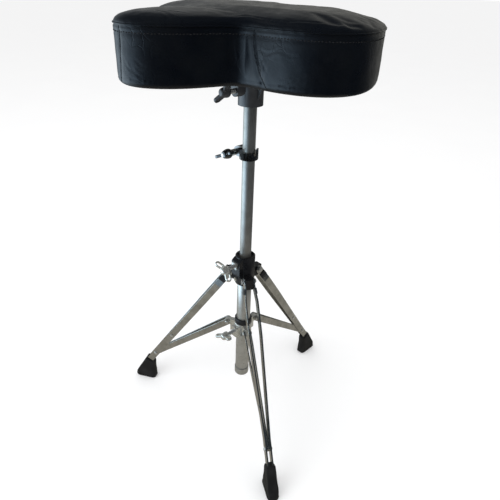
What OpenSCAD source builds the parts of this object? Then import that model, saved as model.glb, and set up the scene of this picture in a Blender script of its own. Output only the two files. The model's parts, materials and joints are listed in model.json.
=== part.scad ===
// Drum throne: a padded saddle seat on a clamped, sliding post, carried by a
// folding tripod whose legs and braces are pairs of bent steel strips.
// Millimetres, +Z up. The floor is z = 0, the seat's nose points to -Y, and the
// origin is on the floor below the middle of the whole object.

/* [Seat] */
// Mean radius of the saddle's outline
seat_mean_r = 177; // [165:1:182]
// Height of the side band from the underside to the seam
seat_band_h = 73; // [60:1:80]
// Height of the padded crown above the seam
seat_crown_h = 16; // [10:1:18]
// How far the saddle sits forward of the post
seat_forward = 17.8; // [10:0.1:24]
// How far the saddle sits to the side of the post
seat_side = 11.1; // [0:0.1:14]
// Turn of the seat on its post
seat_turn = -4.3; // [-30:0.1:30]
// Height of the seat's underside above the floor
seat_bottom_z = 727; // [700:1:730]

/* [Post] */
// Radius of the sliding post
post_r = 11.1; // [10.5:0.1:11.3]
// Height of the post's lower end
post_bottom_z = 292; // [288:1:300]
// Height of the memory collar's lower face
collar_z = 584; // [560:1:600]

/* [Tripod] */
// Radius of the base tube
tube_r = 14.3; // [14:0.1:14.5]
// Angle of each leg from the vertical
leg_tilt = 33.8; // [32:0.1:34.5]
// Distance of a leg's pivot from the tube's axis
leg_pivot_r = 31; // [30:0.5:32]
// Height of a leg's pivot
leg_pivot_z = 348; // [346:1:350]
// Distance along a leg from its pivot to the brace's rivet
leg_joint_s = 320; // [316:1:322]
// Width of a leg strip
leg_strip_w = 15; // [14:0.5:16]
// Width of a brace strip
brace_strip_w = 14; // [12:0.5:15]
// Distance of a brace's pivot from the tube's axis
spider_pivot_r = 34; // [33:0.5:35]
// Height of the brace pivots with the legs spread
spider_pivot_z = 220; // [218:1:222]

/* [Hidden] */

$fn = 48;
run_gap = 0.05;        // radial clearance of a running fit
side_gap = 0.3;        // gap between faces that swing past each other
cut_reach = 30;        // how far cutters reach to either side of a leg or brace
hole_reach = 20;       // how far a pivot's hole reaches to either side of its lug
over = 1;              // how far a cutter runs past the face it cuts

// Seat: cosine terms of the saddle's outline, and the layers of its padding
seat_waves = [-15, -9, 23, 20, 13];
seat_steps = 60;
seat_seam_z = seat_bottom_z + seat_band_h;
cover_t = 2;
band_inner = 6.5;
band_steps = [[6, 0], [3, 1.5], [1, 4], [0, 7]];
hem_inner = 28;
crown_layers = 4;
crown_w = 38;
board_z = seat_bottom_z + cover_t;
board_t = 12;
board_inset = 10;
dust_t = 1;
staple_count = 36;
staple_inset = 20;
staple = [1, 10, 0.6];
t_nut_r = 9;
t_nut_barrel_r = 4;
t_nut_flange_t = 1.5;
t_nut_room = 0.5;

// Bracket under the seat
flange_top_z = board_z - dust_t;
flange_t = 6;
flange_z = flange_top_z - flange_t;
flange_w = 88;
socket_r = 20.8;
socket_z = 675;
socket_depth = 41;
flange_corner = 10;
rib_t = 6;
rib_reach = 38;
rib_z = socket_z + 12;
rib_root = 10;
screw_spread = 32;
screw_r = 3;
screw_head_r = 5.5;
screw_head_h = 3.5;
boss_r = 9;
bracket_boss_y = 34;
bracket_hub_y = 46;
bracket_bolt_z = 700;

// Post
post_wall = 1.6;
post_top_z = socket_z + socket_depth - 2;
guide_h = 12;

// Memory collar
collar_h = 12.8;
collar_r = 16.2;
ear_x = 21.6;
ear_t = 5;
ear_r = 9;
ear_z = collar_z + ear_r;
ear_gap = 1.5;
key_az = 35;
key_t = 3.2;
key_w = 7;
key_h = 6;
stud_r = 3;
stud_head_h = 4;
spacer_r = 5.5;
spacer_end = 24;

// Wing bolts: thread radius, hub and the two open wings
thread_r = 4;
hub_len = 16;
hub_r = 8.5;
hub_profile = [[0, 0], [7, 0], [hub_r, 3], [hub_r, 11], [6, 15], [0, hub_len]];
wing_t = 4.4;
wing_root = [7, 7];
wing_tip = [17.8, 12];
wing_r = 6.5;
hole_root = [12.5, 9.5];
hole_tip = [17.6, 11.8];
wing_hole_r = 3.3;
bracket_twist = 46;
memory_twist = 24;
height_twist = -33;
spider_twist = 22;

// Casting on top of the base tube
casting_z = 326;
casting_top_z = 391;
casting_r = 19.4;
casting_chamfer = 3;
rim_chamfer = 1.5;
tube_wall = 1.5;
tube_top_z = 352;
tube_bottom_z = 86;
bushing_r = tube_r;
bushing_top_z = 385;
bushing_depth = 14;
bushing_flange_h = 2;
rim_inner_r = 16.5;
height_bolt_z = 376;
height_boss_w = 22;
height_boss_y = 26;
height_boss_low_z = 344;
height_boss_z = 354;
height_boss_top_z = 384;
height_hub_y = 46;
nut_t = 4;
nut_w = 13;
shoe_gap = 0.3;
shoe_len = 4.5;
lug_w = 14.4;
lug_h = 21.5;
lug_z = 334;
lug_nose = 9;
pivot_r = 3;
pivot_head = [[0, 0], [5, 0], [5, 1.5], [3.5, 3.5], [0, 3.5]];
nut_r = 5.5;
nut_h = 3.5;
bolt_end = 0.5;
cap_r = 15.6;
cap_h = 18;
cap_round_r = 5;
cap_floor_t = 6;
dimple_r = 1.4;
dimple_z = 11;
tube_screw_az = -16;
tube_screw_z = 339;
tube_screw_head_r = 4;
tube_screw_head_h = 3;

// Legs: half gap between the two strips along the leg
leg_az = [90, 210, 330];
leg_strip_t = 3;
leg_end_s = 370;
leg_joint_gap = 3.2;
leg_path = [
  [-leg_strip_w, lug_w / 2 + side_gap], [12, lug_w / 2 + side_gap], [40, 10.3], [105, 10.3],
  [300, leg_joint_gap], [leg_end_s, leg_joint_gap]
];
pad_s = [13.5, 25];
pad_t = 1.5;
rivet_s = 239;
rivet_r = 2;
rivet_head_r = 3.2;
rivet_head_h = 1.2;
joint_rivet_r = 2.5;
joint_head_r = 4.5;
head_t = 2;

// Feet
foot_s = 347;
foot_top_w = 25;
foot_in_r = 216;
foot_out_r = 265;
foot_w = 22;
foot_top_t = 17;
foot_corner = 9;
foot_toe_h = 9;
foot_shoulder_z = 25;
foot_high_z = 80;

// Spider and braces
spider_r = 18;
spider_z = 199;
spider_top_z = 226.6;
ring_r = 17.6;
ring_top_z = 238.5;
spider_bush_r = 16;
spider_bolt_z = 214;
spider_boss_w = 16;
spider_boss_h = 23;
spider_boss_y = 26;
spider_hub_y = 48;
spider_lug_w = 9.4;
spider_lug_r = 6.4;
spider_web_r = 27;
spider_web_h = 20;
spider_head_r = 4;
brace_strip_t = 2.5;
slot_len = 12;
slot_r = joint_rivet_r + 0.8;
slot_wall = 1.7;
joint_r = leg_pivot_r + leg_joint_s * sin(leg_tilt);
joint_z = leg_pivot_z - leg_joint_s * cos(leg_tilt);
brace_len = norm([joint_r - spider_pivot_r, spider_pivot_z - joint_z]);
brace_tilt = atan2(joint_r - spider_pivot_r, spider_pivot_z - joint_z);
brace_path = [
  [-brace_strip_w, spider_lug_w / 2 + side_gap], [25, spider_lug_w / 2 + side_gap],
  [brace_len - 33, side_gap], [brace_len + brace_strip_w, side_gap]
];

// The tube's axis stands where the whole object is centred on the origin
seat_front_y = min([for (p = seat_outline(0)) sin(seat_turn) * p.x + cos(seat_turn) * p.y]);
axis_y = -(foot_out_r + seat_front_y) / 2;

// Outline of the saddle: t is the angle from the nose
function seat_radius(t, k = 0) =
  k < len(seat_waves) ? seat_waves[k] * cos((k + 1) * t) + seat_radius(t, k + 1) : seat_mean_r;
function seat_point(t) = seat_radius(t) * [sin(t), -cos(t)];
function seat_normal(t) =
  let (d = seat_point(t + 1) - seat_point(t - 1)) [d.y, -d.x] / norm(d);
function seat_outline(inset) = [
  for (i = [0 : seat_steps - 1])
    let (t = i * 360 / seat_steps)
      seat_point(t) - inset * seat_normal(t) + [seat_side, -seat_forward]
];
function foot_top(side) =
  [leg_pivot_r + foot_s * sin(leg_tilt), leg_pivot_z - foot_s * cos(leg_tilt)]
  + side * foot_top_w / 2 * [cos(leg_tilt), sin(leg_tilt)];

// Frames in which the parts are drawn
module on_axis() {
  translate([0, axis_y, 0]) children();
}

module on_seat() {
  on_axis() rotate([0, 0, seat_turn]) children();
}

module on_leg(n) {
  on_axis() rotate([0, 0, leg_az[n - 1]])
    translate([leg_pivot_r, 0, leg_pivot_z]) rotate([0, 90 - leg_tilt, 0]) children();
}

module on_brace(n) {
  on_axis() rotate([0, 0, leg_az[n - 1]])
    translate([spider_pivot_r, 0, spider_pivot_z]) rotate([0, 90 - brace_tilt, 0]) children();
}

// Shapes used more than once
module bar_2d(a, b, r) {
  side = r * [a.y - b.y, b.x - a.x] / norm(b - a);
  translate(a) circle(r);
  translate(b) circle(r);
  polygon([a + side, b + side, b - side, a - side]);
}

// A rounded rectangle from x0 to x1
module bar_round(x0, x1, w, r) {
  translate([x0 + r, -w / 2]) square([x1 - x0 - 2 * r, w]);
  translate([x0, -w / 2 + r]) square([x1 - x0, w - 2 * r]);
  for (x = [x0 + r, x1 - r], y = [-1, 1])
    translate([x, y * (w / 2 - r)]) circle(r);
}

module rod_y(r, y0, y1) {
  translate([0, y1, 0]) rotate([90, 0, 0]) cylinder(r = r, h = y1 - y0);
}

module seat_slab(inset, z0, z1) {
  translate([0, 0, z0]) linear_extrude(z1 - z0) polygon(seat_outline(inset));
}

module seat_crown(inset, drop) {
  for (i = [0 : crown_layers - 1])
    seat_slab(inset + crown_w * pow(i / crown_layers, 2), seat_seam_z,
      seat_seam_z + seat_crown_h * (i + 1) / crown_layers - drop);
}

module at_screws() {
  for (a = [45 : 90 : 315])
    rotate([0, 0, a]) translate([screw_spread * sqrt(2), 0, 0]) children();
}

// A hub with two open wings; +Z is the way out along the thread
module wing_pair() {
  rotate_extrude() polygon(hub_profile);
  for (side = [0, 180])
    rotate([0, 0, side]) rotate([90, 0, 0]) linear_extrude(wing_t, center = true)
      difference() {
        bar_2d(wing_root, wing_tip, wing_r);
        bar_2d(hole_root, hole_tip, wing_hole_r);
      }
}

// The same, standing at hub_y and pointing to -Y
module wings_at(hub_y, twist) {
  translate([0, -hub_y, 0]) rotate([90, 0, 0]) rotate([0, 0, twist]) wing_pair();
}

module wing_bolt(hub_y, tip_y, twist) {
  rod_y(thread_r, -hub_y - over, -tip_y);
  wings_at(hub_y, twist);
}

// One bent strip: path holds [distance, half gap], side is 1 or -1
module strip(path, t, w, side) {
  mirror([0, side < 0 ? 1 : 0, 0])
    linear_extrude(w, center = true)
      polygon(concat(path, [for (i = [len(path) - 1 : -1 : 0]) path[i] + [0, t]]));
}

// What is cut off to round a strip's end about s; dir is 1 at the outer end
module end_cutter(s, dir, w) {
  difference() {
    translate([dir < 0 ? s - 2 * w : s, -cut_reach, -w]) cube([2 * w, 2 * cut_reach, 2 * w]);
    translate([s, 0, 0]) rod_y(w / 2, -cut_reach - over, cut_reach + over);
  }
}

module cross_hole(s, r) {
  translate([s, 0, 0]) rod_y(r, -cut_reach, cut_reach);
}

// A round head on both outer faces, y_face from the middle
module heads(s, y_face, r, h) {
  for (side = [0, 180])
    translate([s, 0, 0]) rotate([side, 0, 0]) translate([0, y_face, 0]) rotate([-90, 0, 0])
      rotate_extrude() polygon([[0, 0], [r, 0], [r, h / 3], [r * 0.6, h], [0, h]]);
}

// ---- Seat ----

module seat_top_cover() {
  color([0.10, 0.10, 0.11]) on_seat() difference() {
    seat_crown(0, 0);
    seat_crown(cover_t, cover_t);
  }
}

module seat_side_band() {
  color([0.07, 0.08, 0.10]) on_seat() difference() {
    union() {
      for (step = band_steps)
        seat_slab(step[0], seat_bottom_z + step[1], seat_seam_z);
    }
    seat_slab(band_inner, board_z, seat_seam_z + over);
    seat_slab(hem_inner, seat_bottom_z - over, board_z + over);
  }
}

module seat_foam() {
  color([0.85, 0.80, 0.60]) on_seat() difference() {
    union() {
      seat_slab(band_inner, board_z, seat_seam_z);
      seat_crown(cover_t, cover_t);
    }
    seat_slab(board_inset, board_z - over, board_z + board_t);
    at_screws() translate([0, 0, board_z + board_t - over])
      cylinder(r = t_nut_r + t_nut_room, h = over + t_nut_flange_t + t_nut_room);
  }
}

module seat_board() {
  color([0.72, 0.55, 0.35]) on_seat() difference() {
    seat_slab(board_inset, board_z, board_z + board_t);
    at_screws() translate([0, 0, board_z - over]) cylinder(r = t_nut_barrel_r, h = board_t + 2 * over);
  }
}

module seat_dust_cover() {
  color([0.05, 0.05, 0.05]) on_seat() difference() {
    seat_slab(hem_inner, flange_top_z, board_z);
    at_screws() translate([0, 0, flange_top_z - over]) cylinder(r = t_nut_barrel_r, h = dust_t + 2 * over);
  }
}

module seat_staples() {
  color([0.75, 0.75, 0.75]) on_seat()
    for (i = [0 : staple_count - 1]) {
      t = (i + 0.5) * 360 / staple_count;
      turn = atan2(seat_normal(t).y, seat_normal(t).x);
      place = seat_point(t) - staple_inset * seat_normal(t) + [seat_side, -seat_forward];
      translate(place) rotate([0, 0, turn])
        translate([-staple.x / 2, -staple.y / 2, seat_bottom_z - staple.z]) cube(staple);
    }
}

module seat_t_nuts() {
  color([0.80, 0.78, 0.65]) on_seat() at_screws() difference() {
    union() {
      translate([0, 0, board_z + 2]) cylinder(r = t_nut_barrel_r, h = board_t - 2);
      translate([0, 0, board_z + board_t]) cylinder(r = t_nut_r, h = t_nut_flange_t);
    }
    translate([0, 0, board_z]) cylinder(r = screw_r, h = board_t + t_nut_flange_t + over);
  }
}

module seat_bracket() {
  color([0.22, 0.22, 0.23]) on_seat() difference() {
    union() {
      translate([0, 0, socket_z]) cylinder(r = socket_r, h = flange_top_z - socket_z);
      translate([0, 0, flange_z]) linear_extrude(flange_t)
        bar_round(-flange_w / 2, flange_w / 2, flange_w, flange_corner);
      for (a = [0 : 90 : 180])
        rotate([90, 0, a]) linear_extrude(rib_t, center = true)
          polygon([
            [rib_root, rib_z], [socket_r, rib_z], [rib_reach, flange_z],
            [rib_reach, flange_z + over], [rib_root, flange_z + over]
          ]);
      translate([0, 0, bracket_bolt_z]) rod_y(boss_r, -bracket_boss_y, 0);
      translate([-boss_r, -bracket_boss_y, bracket_bolt_z])
        cube([2 * boss_r, bracket_boss_y, flange_z + over - bracket_bolt_z]);
    }
    translate([0, 0, socket_z - over]) cylinder(r = post_r + run_gap, h = socket_depth + over);
    translate([0, 0, bracket_bolt_z]) rod_y(thread_r + run_gap, -bracket_boss_y - over, 0);
    at_screws() translate([0, 0, flange_z - over]) cylinder(r = screw_r + 0.2, h = flange_t + 2 * over);
  }
}

module seat_bracket_screws() {
  color([0.70, 0.70, 0.70]) on_seat() at_screws() difference() {
    union() {
      translate([0, 0, flange_z - screw_head_h]) cylinder(r = screw_head_r, h = screw_head_h);
      translate([0, 0, flange_z - over]) cylinder(r = screw_r, h = board_z + board_t + over - flange_z);
    }
    translate([0, 0, flange_z - screw_head_h - over]) cylinder(r = 2, h = screw_head_h - over / 2, $fn = 6);
  }
}

module bracket_shoe() {
  color([0.75, 0.60, 0.25]) on_seat() translate([0, 0, bracket_bolt_z])
    rod_y(thread_r, -post_r - shoe_gap - shoe_len, -post_r - shoe_gap);
}

module bracket_wing_bolt() {
  color([0.30, 0.30, 0.31]) on_seat() translate([0, 0, bracket_bolt_z])
    wing_bolt(bracket_hub_y, post_r + 2 * shoe_gap + shoe_len, bracket_twist);
}

// ---- Post ----

module seat_post() {
  color([0.78, 0.79, 0.80]) on_axis() translate([0, 0, post_bottom_z]) difference() {
    cylinder(r = post_r, h = post_top_z - post_bottom_z);
    translate([0, 0, -over]) cylinder(r = post_r - post_wall, h = post_top_z - post_bottom_z + 2 * over);
  }
}

module post_plug() {
  color([0.10, 0.10, 0.10]) on_axis() translate([0, 0, post_top_z - guide_h])
    cylinder(r = post_r - post_wall, h = guide_h);
}

module post_guide() {
  color([0.85, 0.85, 0.82]) on_axis() translate([0, 0, post_bottom_z]) union() {
    cylinder(r = post_r - post_wall, h = guide_h);
    translate([0, 0, -guide_h]) cylinder(r = tube_r - tube_wall - run_gap, h = guide_h);
  }
}

module memory_collar() {
  color([0.35, 0.35, 0.36]) on_axis() difference() {
    union() {
      translate([0, 0, collar_z]) cylinder(r = collar_r, h = collar_h);
      for (side = [0, 1]) mirror([0, side, 0]) {
        translate([-ear_x, 0, ear_z]) rod_y(ear_r, ear_gap, ear_gap + ear_t);
        translate([-ear_x, ear_gap, collar_z]) cube([ear_x, ear_t, 2 * ear_r]);
      }
      rotate([0, 0, key_az]) translate([collar_r - key_t, -key_w / 2, collar_z])
        cube([key_t, key_w, collar_h + key_h]);
    }
    translate([0, 0, collar_z - over]) cylinder(r = post_r + run_gap, h = collar_h + key_h + 2 * over);
    translate([-collar_r - over, -ear_gap, collar_z - over])
      cube([collar_r, 2 * ear_gap, collar_h + 2 * over]);
    translate([-ear_x, 0, ear_z]) rod_y(stud_r, -cut_reach, cut_reach);
  }
}

module memory_bolt() {
  head_y = ear_gap + ear_t;
  color([0.70, 0.70, 0.71]) on_axis() translate([-ear_x, 0, ear_z]) union() {
    rod_y(stud_r, -spacer_end - hub_len - 2, head_y + over);
    translate([0, head_y + stud_head_h, 0]) rotate([90, 0, 0]) cylinder(r = nut_r, h = stud_head_h, $fn = 6);
  }
}

module memory_spacer() {
  color([0.80, 0.80, 0.81]) on_axis() translate([-ear_x, 0, ear_z]) difference() {
    rod_y(spacer_r, -spacer_end, -ear_gap - ear_t);
    rod_y(stud_r, -spacer_end - over, 0);
  }
}

module memory_wing_nut() {
  color([0.80, 0.80, 0.81]) on_axis() translate([-ear_x, 0, ear_z]) difference() {
    wings_at(spacer_end + side_gap, memory_twist);
    rod_y(stud_r + run_gap, -spacer_end - hub_len - cut_reach, 0);
  }
}

// ---- Casting and base tube ----

module top_casting() {
  h = casting_top_z - casting_z;
  color([0.06, 0.06, 0.07]) on_axis() difference() {
    union() {
      translate([0, 0, casting_z]) rotate_extrude() polygon([
        [0, 0], [casting_r - casting_chamfer, 0], [casting_r, casting_chamfer],
        [casting_r, h - rim_chamfer], [casting_r - rim_chamfer, h], [0, h]
      ]);
      rotate([90, 0, 90]) linear_extrude(height_boss_w, center = true) polygon([
        [0, height_boss_low_z], [-casting_r + 3, height_boss_low_z],
        [-height_boss_y, height_boss_z], [-height_boss_y, height_boss_top_z],
        [-casting_r + 2, casting_top_z - rim_chamfer], [0, casting_top_z - rim_chamfer]
      ]);
      for (a = leg_az)
        rotate([0, 0, a]) translate([0, -lug_w / 2, lug_z]) cube([leg_pivot_r + lug_nose, lug_w, lug_h]);
    }
    translate([0, 0, casting_z - over]) cylinder(r = bushing_r, h = h);
    translate([0, 0, bushing_top_z]) cylinder(r = rim_inner_r, h = casting_top_z - bushing_top_z + over);
    translate([0, 0, height_bolt_z]) rod_y(thread_r + run_gap, -height_boss_y - over, 0);
    for (a = leg_az)
      rotate([0, 0, a]) translate([leg_pivot_r, 0, leg_pivot_z]) rod_y(pivot_r, -hole_reach, hole_reach);
    tube_screw_shape();
  }
}

module post_bushing() {
  bottom_z = tube_top_z - bushing_depth;
  top_z = bushing_top_z + bushing_flange_h;
  color([0.12, 0.12, 0.13]) on_axis() difference() {
    union() {
      translate([0, 0, bottom_z]) cylinder(r = tube_r - tube_wall, h = bushing_depth + over);
      translate([0, 0, tube_top_z]) cylinder(r = bushing_r, h = bushing_top_z - tube_top_z);
      translate([0, 0, bushing_top_z]) cylinder(r = rim_inner_r, h = bushing_flange_h);
    }
    translate([0, 0, bottom_z - over]) cylinder(r = post_r + run_gap, h = top_z - bottom_z + 2 * over);
    translate([0, 0, height_bolt_z]) rod_y(thread_r, -hole_reach, 0);
  }
}

module base_tube() {
  color([0.80, 0.81, 0.82]) on_axis() difference() {
    translate([0, 0, tube_bottom_z]) cylinder(r = tube_r, h = tube_top_z - tube_bottom_z);
    translate([0, 0, tube_bottom_z - over])
      cylinder(r = tube_r - tube_wall, h = tube_top_z - tube_bottom_z + 2 * over);
    tube_screw_shape();
  }
}

module tube_end_cap() {
  color([0.78, 0.79, 0.80]) on_axis() translate([0, 0, tube_bottom_z - cap_floor_t]) difference() {
    union() {
      cylinder(r = cap_r - cap_round_r, h = cap_h);
      translate([0, 0, cap_round_r]) cylinder(r = cap_r, h = cap_h - cap_round_r);
      translate([0, 0, cap_round_r]) rotate_extrude()
        translate([cap_r - cap_round_r, 0]) circle(cap_round_r);
    }
    translate([0, 0, cap_floor_t]) cylinder(r = tube_r, h = cap_h);
    for (a = [30 : 120 : 270])
      rotate([0, 0, a]) translate([cap_r + dimple_r / 2, 0, dimple_z]) sphere(dimple_r);
  }
}

module tube_screw_shape() {
  rotate([0, 0, tube_screw_az]) translate([0, 0, tube_screw_z])
    rod_y(rivet_r, -casting_r - over, -tube_r + over);
}

module tube_screw() {
  color([0.80, 0.80, 0.80]) on_axis() union() {
    tube_screw_shape();
    rotate([0, 0, tube_screw_az]) translate([0, 0, tube_screw_z])
      rod_y(tube_screw_head_r, -casting_r - tube_screw_head_h, -casting_r);
  }
}

module height_nut() {
  color([0.80, 0.80, 0.81]) on_axis() translate([0, 0, height_bolt_z]) difference() {
    translate([-nut_w / 2, -height_boss_y - nut_t, -nut_w / 2]) cube([nut_w, nut_t, nut_w]);
    rod_y(thread_r + run_gap, -height_boss_y - nut_t - over, 0);
  }
}

module height_shoe() {
  color([0.75, 0.60, 0.25]) on_axis() translate([0, 0, height_bolt_z])
    rod_y(thread_r, -post_r - shoe_gap - shoe_len, -post_r - shoe_gap);
}

module height_wing_bolt() {
  color([0.80, 0.80, 0.81]) on_axis() translate([0, 0, height_bolt_z])
    wing_bolt(height_hub_y, post_r + 2 * shoe_gap + shoe_len, height_twist);
}

module leg_pivot_bolts() {
  face = lug_w / 2 + side_gap + leg_strip_t + side_gap;
  color([0.75, 0.75, 0.76]) on_axis()
    for (a = leg_az)
      rotate([0, 0, a]) translate([leg_pivot_r, 0, leg_pivot_z]) union() {
        rod_y(pivot_r, -face - nut_h - bolt_end, face + bolt_end);
        translate([0, face, 0]) rotate([-90, 0, 0]) rotate_extrude() polygon(pivot_head);
      }
}

module leg_pivot_nuts() {
  face = lug_w / 2 + side_gap + leg_strip_t + side_gap;
  color([0.75, 0.75, 0.76]) on_axis()
    for (a = leg_az)
      rotate([0, 0, a]) translate([leg_pivot_r, -face, leg_pivot_z]) rotate([90, 0, 0]) difference() {
        cylinder(r = nut_r, h = nut_h, $fn = 6);
        translate([0, 0, -over]) cylinder(r = pivot_r, h = nut_h + 2 * over);
      }
}

// ---- Legs ----

module leg_strip(n, side) {
  color([0.72, 0.72, 0.70]) on_leg(n) difference() {
    strip(leg_path, leg_strip_t, leg_strip_w, side);
    end_cutter(0, -1, leg_strip_w);
    cross_hole(0, pivot_r + run_gap);
    cross_hole(rivet_s, rivet_r);
    cross_hole(leg_joint_s, joint_rivet_r);
  }
}

module leg_pads(n) {
  path = [for (s = pad_s) [s, lookup(s, leg_path) + leg_strip_t]];
  color([0.05, 0.05, 0.05]) on_leg(n)
    for (side = [-1, 1]) strip(path, pad_t, leg_strip_w, side);
}

module leg_rivets(n) {
  inner = lookup(rivet_s, leg_path);
  outer = inner + leg_strip_t;
  color([0.60, 0.60, 0.60]) on_leg(n)
    for (side = [0, 180])
      rotate([side, 0, 0]) translate([rivet_s, 0, 0]) union() {
        rod_y(rivet_r, inner + 0.3, outer + rivet_head_h / 2);
        rod_y(rivet_head_r, outer + 0.1, outer + rivet_head_h);
      }
}

module leg_joint_rivet(n) {
  face = leg_joint_gap + leg_strip_t;
  color([0.62, 0.62, 0.62]) on_leg(n) union() {
    translate([leg_joint_s, 0, 0]) rod_y(joint_rivet_r, -face - bolt_end, face + bolt_end);
    heads(leg_joint_s, face, joint_head_r, head_t);
  }
}

module foot(n) {
  color([0.08, 0.08, 0.08]) difference() {
    on_axis() rotate([0, 0, leg_az[n - 1]]) intersection() {
      rotate([90, 0, 0]) linear_extrude(foot_w + 2, center = true) polygon([
        foot_top(-1), foot_top(1), [foot_out_r, foot_toe_h], [foot_out_r, -over], [foot_in_r, -over]
      ]);
      rotate([90, 0, 90]) linear_extrude(2 * foot_out_r) polygon([
        [-foot_w / 2, 0], [foot_w / 2, 0], [foot_w / 2, foot_shoulder_z], [foot_top_t / 2, foot_high_z],
        [-foot_top_t / 2, foot_high_z], [-foot_w / 2, foot_shoulder_z]
      ]);
      linear_extrude(foot_high_z) bar_round(foot_in_r - over, foot_out_r, foot_w, foot_corner);
    }
    for (side = [-1, 1])
      on_leg(n) strip(leg_path, leg_strip_t, leg_strip_w, side);
  }
}

// ---- Spider and braces ----

module spider_collar() {
  color([0.76, 0.76, 0.75]) on_axis() difference() {
    union() {
      translate([0, 0, spider_z]) cylinder(r = spider_r, h = spider_top_z - spider_z);
      translate([-spider_boss_w / 2, -spider_boss_y, spider_z])
        cube([spider_boss_w, spider_boss_y, spider_boss_h]);
      for (a = leg_az)
        rotate([0, 0, a]) {
          translate([0, 0, spider_pivot_z]) rotate([90, 0, 0])
            linear_extrude(spider_lug_w, center = true) bar_2d([0, 0], [spider_pivot_r, 0], spider_lug_r);
          translate([0, -spider_lug_w / 2, spider_z]) cube([spider_web_r, spider_lug_w, spider_web_h]);
        }
    }
    translate([0, 0, spider_z - over]) cylinder(r = spider_bush_r, h = spider_top_z - spider_z + 2 * over);
    translate([0, 0, spider_bolt_z]) rod_y(thread_r + run_gap, -spider_boss_y - over, 0);
    for (a = leg_az)
      rotate([0, 0, a]) translate([spider_pivot_r, 0, spider_pivot_z])
        rod_y(joint_rivet_r, -hole_reach, hole_reach);
  }
}

module spider_bushing() {
  color([0.05, 0.05, 0.05]) on_axis() difference() {
    union() {
      translate([0, 0, spider_z]) cylinder(r = spider_bush_r, h = ring_top_z - spider_z);
      translate([0, 0, spider_top_z]) cylinder(r = ring_r, h = ring_top_z - spider_top_z);
    }
    translate([0, 0, spider_z - over]) cylinder(r = tube_r + run_gap, h = ring_top_z - spider_z + 2 * over);
    translate([0, 0, spider_bolt_z]) rod_y(thread_r + run_gap, -hole_reach, 0);
  }
}

module spider_rivets() {
  face = spider_lug_w / 2 + side_gap + brace_strip_t + side_gap;
  color([0.62, 0.62, 0.62]) on_axis()
    for (a = leg_az)
      rotate([0, 0, a]) translate([spider_pivot_r, 0, spider_pivot_z]) union() {
        rod_y(joint_rivet_r, -face - bolt_end, face + bolt_end);
        heads(0, face, spider_head_r, head_t);
      }
}

module spider_wing_bolt() {
  color([0.80, 0.80, 0.81]) on_axis() translate([0, 0, spider_bolt_z])
    wing_bolt(spider_hub_y, tube_r + shoe_gap, spider_twist);
}

module brace_strip(n, side) {
  color([0.70, 0.70, 0.68]) on_brace(n) difference() {
    strip(brace_path, brace_strip_t, brace_strip_w, side);
    end_cutter(0, -1, brace_strip_w);
    end_cutter(brace_len + slot_r + slot_wall - brace_strip_w / 2, 1, brace_strip_w);
    cross_hole(0, joint_rivet_r + run_gap);
    rotate([90, 0, 0]) linear_extrude(2 * cut_reach, center = true)
      bar_2d([brace_len - slot_len, 0], [brace_len, 0], slot_r);
  }
}

module leg_1_strip_left() leg_strip(1, 1);
module leg_1_strip_right() leg_strip(1, -1);
module leg_1_pads() leg_pads(1);
module leg_1_rivets() leg_rivets(1);
module leg_1_joint_rivet() leg_joint_rivet(1);
module foot_1() foot(1);
module leg_2_strip_left() leg_strip(2, 1);
module leg_2_strip_right() leg_strip(2, -1);
module leg_2_pads() leg_pads(2);
module leg_2_rivets() leg_rivets(2);
module leg_2_joint_rivet() leg_joint_rivet(2);
module foot_2() foot(2);
module leg_3_strip_left() leg_strip(3, 1);
module leg_3_strip_right() leg_strip(3, -1);
module leg_3_pads() leg_pads(3);
module leg_3_rivets() leg_rivets(3);
module leg_3_joint_rivet() leg_joint_rivet(3);
module foot_3() foot(3);
module brace_1_strip_left() brace_strip(1, 1);
module brace_1_strip_right() brace_strip(1, -1);
module brace_2_strip_left() brace_strip(2, 1);
module brace_2_strip_right() brace_strip(2, -1);
module brace_3_strip_left() brace_strip(3, 1);
module brace_3_strip_right() brace_strip(3, -1);

seat_top_cover();
seat_side_band();
seat_foam();
seat_board();
seat_dust_cover();
seat_staples();
seat_t_nuts();
seat_bracket();
seat_bracket_screws();
bracket_shoe();
bracket_wing_bolt();
seat_post();
post_plug();
post_guide();
memory_collar();
memory_bolt();
memory_spacer();
memory_wing_nut();
top_casting();
post_bushing();
base_tube();
tube_end_cap();
tube_screw();
height_nut();
height_shoe();
height_wing_bolt();
leg_pivot_bolts();
leg_pivot_nuts();
leg_1_strip_left();
leg_1_strip_right();
leg_1_pads();
leg_1_rivets();
leg_1_joint_rivet();
foot_1();
leg_2_strip_left();
leg_2_strip_right();
leg_2_pads();
leg_2_rivets();
leg_2_joint_rivet();
foot_2();
leg_3_strip_left();
leg_3_strip_right();
leg_3_pads();
leg_3_rivets();
leg_3_joint_rivet();
foot_3();
brace_1_strip_left();
brace_1_strip_right();
brace_2_strip_left();
brace_2_strip_right();
brace_3_strip_left();
brace_3_strip_right();
spider_collar();
spider_bushing();
spider_rivets();
spider_wing_bolt();
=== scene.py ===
"""Looks of the drum throne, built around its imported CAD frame.

The saddle cushion is simulated cloth with its seams and stitches laid on
afterwards. The clamp knobs and rubber feet are modelled again in finer mesh, and
every CAD node gets softened edges and a procedural material.
"""

import json
import math

import bmesh
import bpy
import numpy as np
from mathutils import Matrix, Vector, noise
from mathutils.bvhtree import BVHTree


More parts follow.
